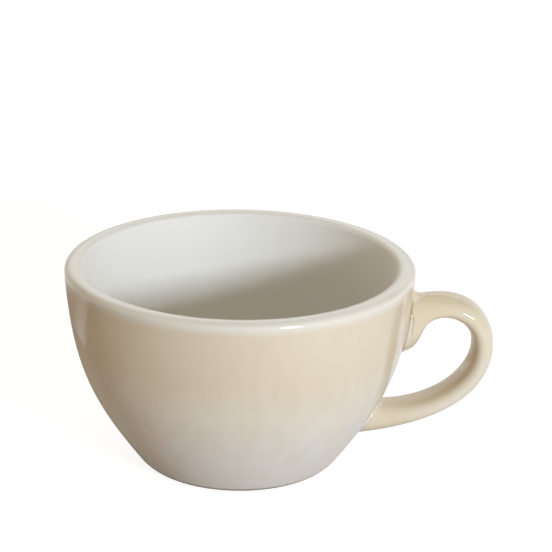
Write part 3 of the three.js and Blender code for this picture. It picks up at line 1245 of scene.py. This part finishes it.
def floor_finish():
    material, start = new_finish("white_floor")
    glow = start.node("ShaderNodeEmission", inputs={"Color": WHITE, "Strength": FLOOR_GLOW})
    shadow = start.node("ShaderNodeBsdfDiffuse", inputs={"Color": SHADOW_GREY})
    backdrop = start.node("ShaderNodeAddShader", inputs={0: glow, 1: shadow})
    sand = start.node("ShaderNodeBsdfDiffuse", inputs={"Color": FLOOR_COLOUR})
    mirrored_share = ray_kind(start, "Is Glossy Ray") * mirrored_glow(start)
    mirrored = mix_shaders(start, mirrored_share, sand, backdrop)
    mixed = mix_shaders(start, straight_rays(start), mirrored, backdrop)
    start.node("ShaderNodeOutputMaterial", inputs={"Surface": mixed})
    return material


half = FLOOR_SIZE / 2
floor_corners = [(-half, -half, 0), (half, -half, 0), (half, half, 0), (-half, half, 0)]
floor_mesh = bpy.data.meshes.new("floor")
floor_mesh.from_pydata(floor_corners, [], [(0, 1, 2, 3)])
floor_mesh.materials.append(floor_finish())
floor = add_object("floor", floor_mesh)
print("floor", FLOOR_SIZE, "m square")

# %% [markdown]
# ## Lamps
# A small oblong lamp stands low and near at the front right, as a window would, and makes the highlights and
# the soft shadow. A large, weak one behind the cup lifts the lip and the inside. Both are area lamps, because
# a lamp's size is what makes a shadow's edge soft.

# %% Lamps
LAMPS = {
    "window_light": {
        "azimuth": -59, "elevation": 15.9, "distance": 0.68,
        "size": (0.14, 0.08), "power": 3.31, "colour": (0.785, 0.885, 0.985),
    },
    "back_light": {
        "azimuth": 90, "elevation": 40, "distance": 1.2,
        "size": (0.95, 0.95), "power": 1.1, "colour": (1.0, 0.94, 0.85),
    },
}
cup_middle = Vector((CUP_AXIS, 0, CUP_HEIGHT / 2))


def direction(azimuth, elevation):
    """A unit step towards an azimuth, from +X towards +Y, and an elevation, in degrees."""
    level = heading(azimuth, math.cos(math.radians(elevation)))
    return Vector((level.x, level.y, math.sin(math.radians(elevation))))


def soft_lamp(name, azimuth, elevation, distance, size, power, colour):
    """An oblong lamp that faces the cup from a direction."""
    lamp = bpy.data.lights.new(name, "AREA")
    lamp.shape = "RECTANGLE"
    lamp.size, lamp.size_y = size
    lamp.energy = power
    lamp.color = colour
    lamp_object = add_object(name, lamp)
    towards = direction(azimuth, elevation)
    lamp_object.location = cup_middle + towards * distance
    lamp_object.rotation_euler = towards.to_track_quat("Z", "Y").to_euler()
    print(name, "at", [round(x, 2) for x in lamp_object.location])


for lamp_name, settings in LAMPS.items():
    soft_lamp(lamp_name, **settings)

# %% [markdown]
# ## World
# A warm world fills the shade, a little stronger from behind. It is bright near the horizon and overhead, and
# dim between. The camera sees it as plain white. In the glaze's reflections it is a dim room, with a white
# backdrop low behind the cup. A world's generated coordinates are the direction of a ray, so the ramps below
# follow how far a ray rises and how far it goes back.

# %% World
FILL_LEVEL = (0.93, 0.75, 0.585, 1)
FILL_RIGHT = (0.92, 0.815, 0.8, 1)
FILL_MIDDLE = grey(0.06)
FILL_TOP = (0.955, 0.885, 0.67, 1)
FILL_STRENGTH = 0.805
FILL_LEAN = 0.32
RAISED_RANGE = (0.33, 0.48)
RAISED_STOPS = [(0.74, FILL_MIDDLE), (0.88, FILL_TOP)]
ROOM = (0.4, 0.36, 0.3, 1)
ROOM_STOPS = [(0.3, ROOM), (0.7, WHITE)]
ROOM_SLOPE = 1.8
ROOM_OFFSET = 0.5

world = bpy.data.worlds.new("studio")
world.use_nodes = True
world.node_tree.nodes.clear()
sky = Signal(world.node_tree)
ray = sky.node("ShaderNodeTexCoord", output="Generated")
right = coordinate(sky, ray, "X")
behind = coordinate(sky, ray, "Y")
rise = coordinate(sky, ray, "Z")


def background(colour, strength=1.0):
    """A world shader of a colour and a strength."""
    return sky.node("ShaderNodeBackground", inputs={"Color": colour, "Strength": strength})


level = blend(sky, right, FILL_LEVEL, FILL_RIGHT)
fill_colour = blend(sky, mask(sky, rise, *RAISED_RANGE), level, ramp(sky, rise, RAISED_STOPS))
fill = background(fill_colour, FILL_STRENGTH + FILL_LEAN * behind)
low_behind = behind - ROOM_SLOPE * rise + ROOM_OFFSET
mirrored = background(ramp(sky, low_behind, ROOM_STOPS))
lit = mix_shaders(sky, ray_kind(sky, "Is Glossy Ray"), fill, mirrored)
seen = mix_shaders(sky, straight_rays(sky), lit, background(WHITE))
sky.node("ShaderNodeOutputWorld", inputs={"Surface": seen})
bpy.context.scene.world = world
print("fill at the horizon", FILL_LEVEL[:3], "and above", FILL_TOP[:3])

# %% [markdown]
# ## Camera
# The camera looks down on the cup from the front, square to the handle, from about half a metre with a long
# lens. The cup sits left of and below the middle of the picture, so the camera first aims at the cup and then
# turns until the cup lands on its place. It is also tipped a little to one side.

# %% Camera
PICTURE = 552
SENSOR_MM = 36
LENS_MM = 126.86
CAMERA_DISTANCE = 0.52
CAMERA_AZIMUTH = -90
CAMERA_ELEVATION = 22.314
CAMERA_TIP = 0.649
CUP_PIXEL = (240.21, 357.99)
NEAREST = 0.01

focal_pixels = LENS_MM / SENSOR_MM * PICTURE
yaw = math.atan2(CUP_PIXEL[0] - PICTURE / 2, focal_pixels)
pitch = math.atan2(CUP_PIXEL[1] - PICTURE / 2, focal_pixels)
back = direction(CAMERA_AZIMUTH, CAMERA_ELEVATION)
aimed = Matrix((Vector((1, 0, 0)), back.cross(Vector((1, 0, 0))), back)).transposed()
turned = (
    aimed @ Matrix.Rotation(yaw, 3, "Y") @ Matrix.Rotation(pitch, 3, "X")
    @ Matrix.Rotation(math.radians(CAMERA_TIP), 3, "Z")
)
camera = add_object("camera", bpy.data.cameras.new("camera"))
camera.data.sensor_width = SENSOR_MM
camera.data.lens = LENS_MM
camera.data.clip_start = NEAREST
camera.matrix_world = Matrix.Translation(cup_middle + back * CAMERA_DISTANCE) @ turned.to_4x4()
bpy.context.scene.camera = camera
bpy.context.scene.view_settings.view_transform = "Standard"
print("camera at", [round(x, 3) for x in camera.matrix_world.translation])
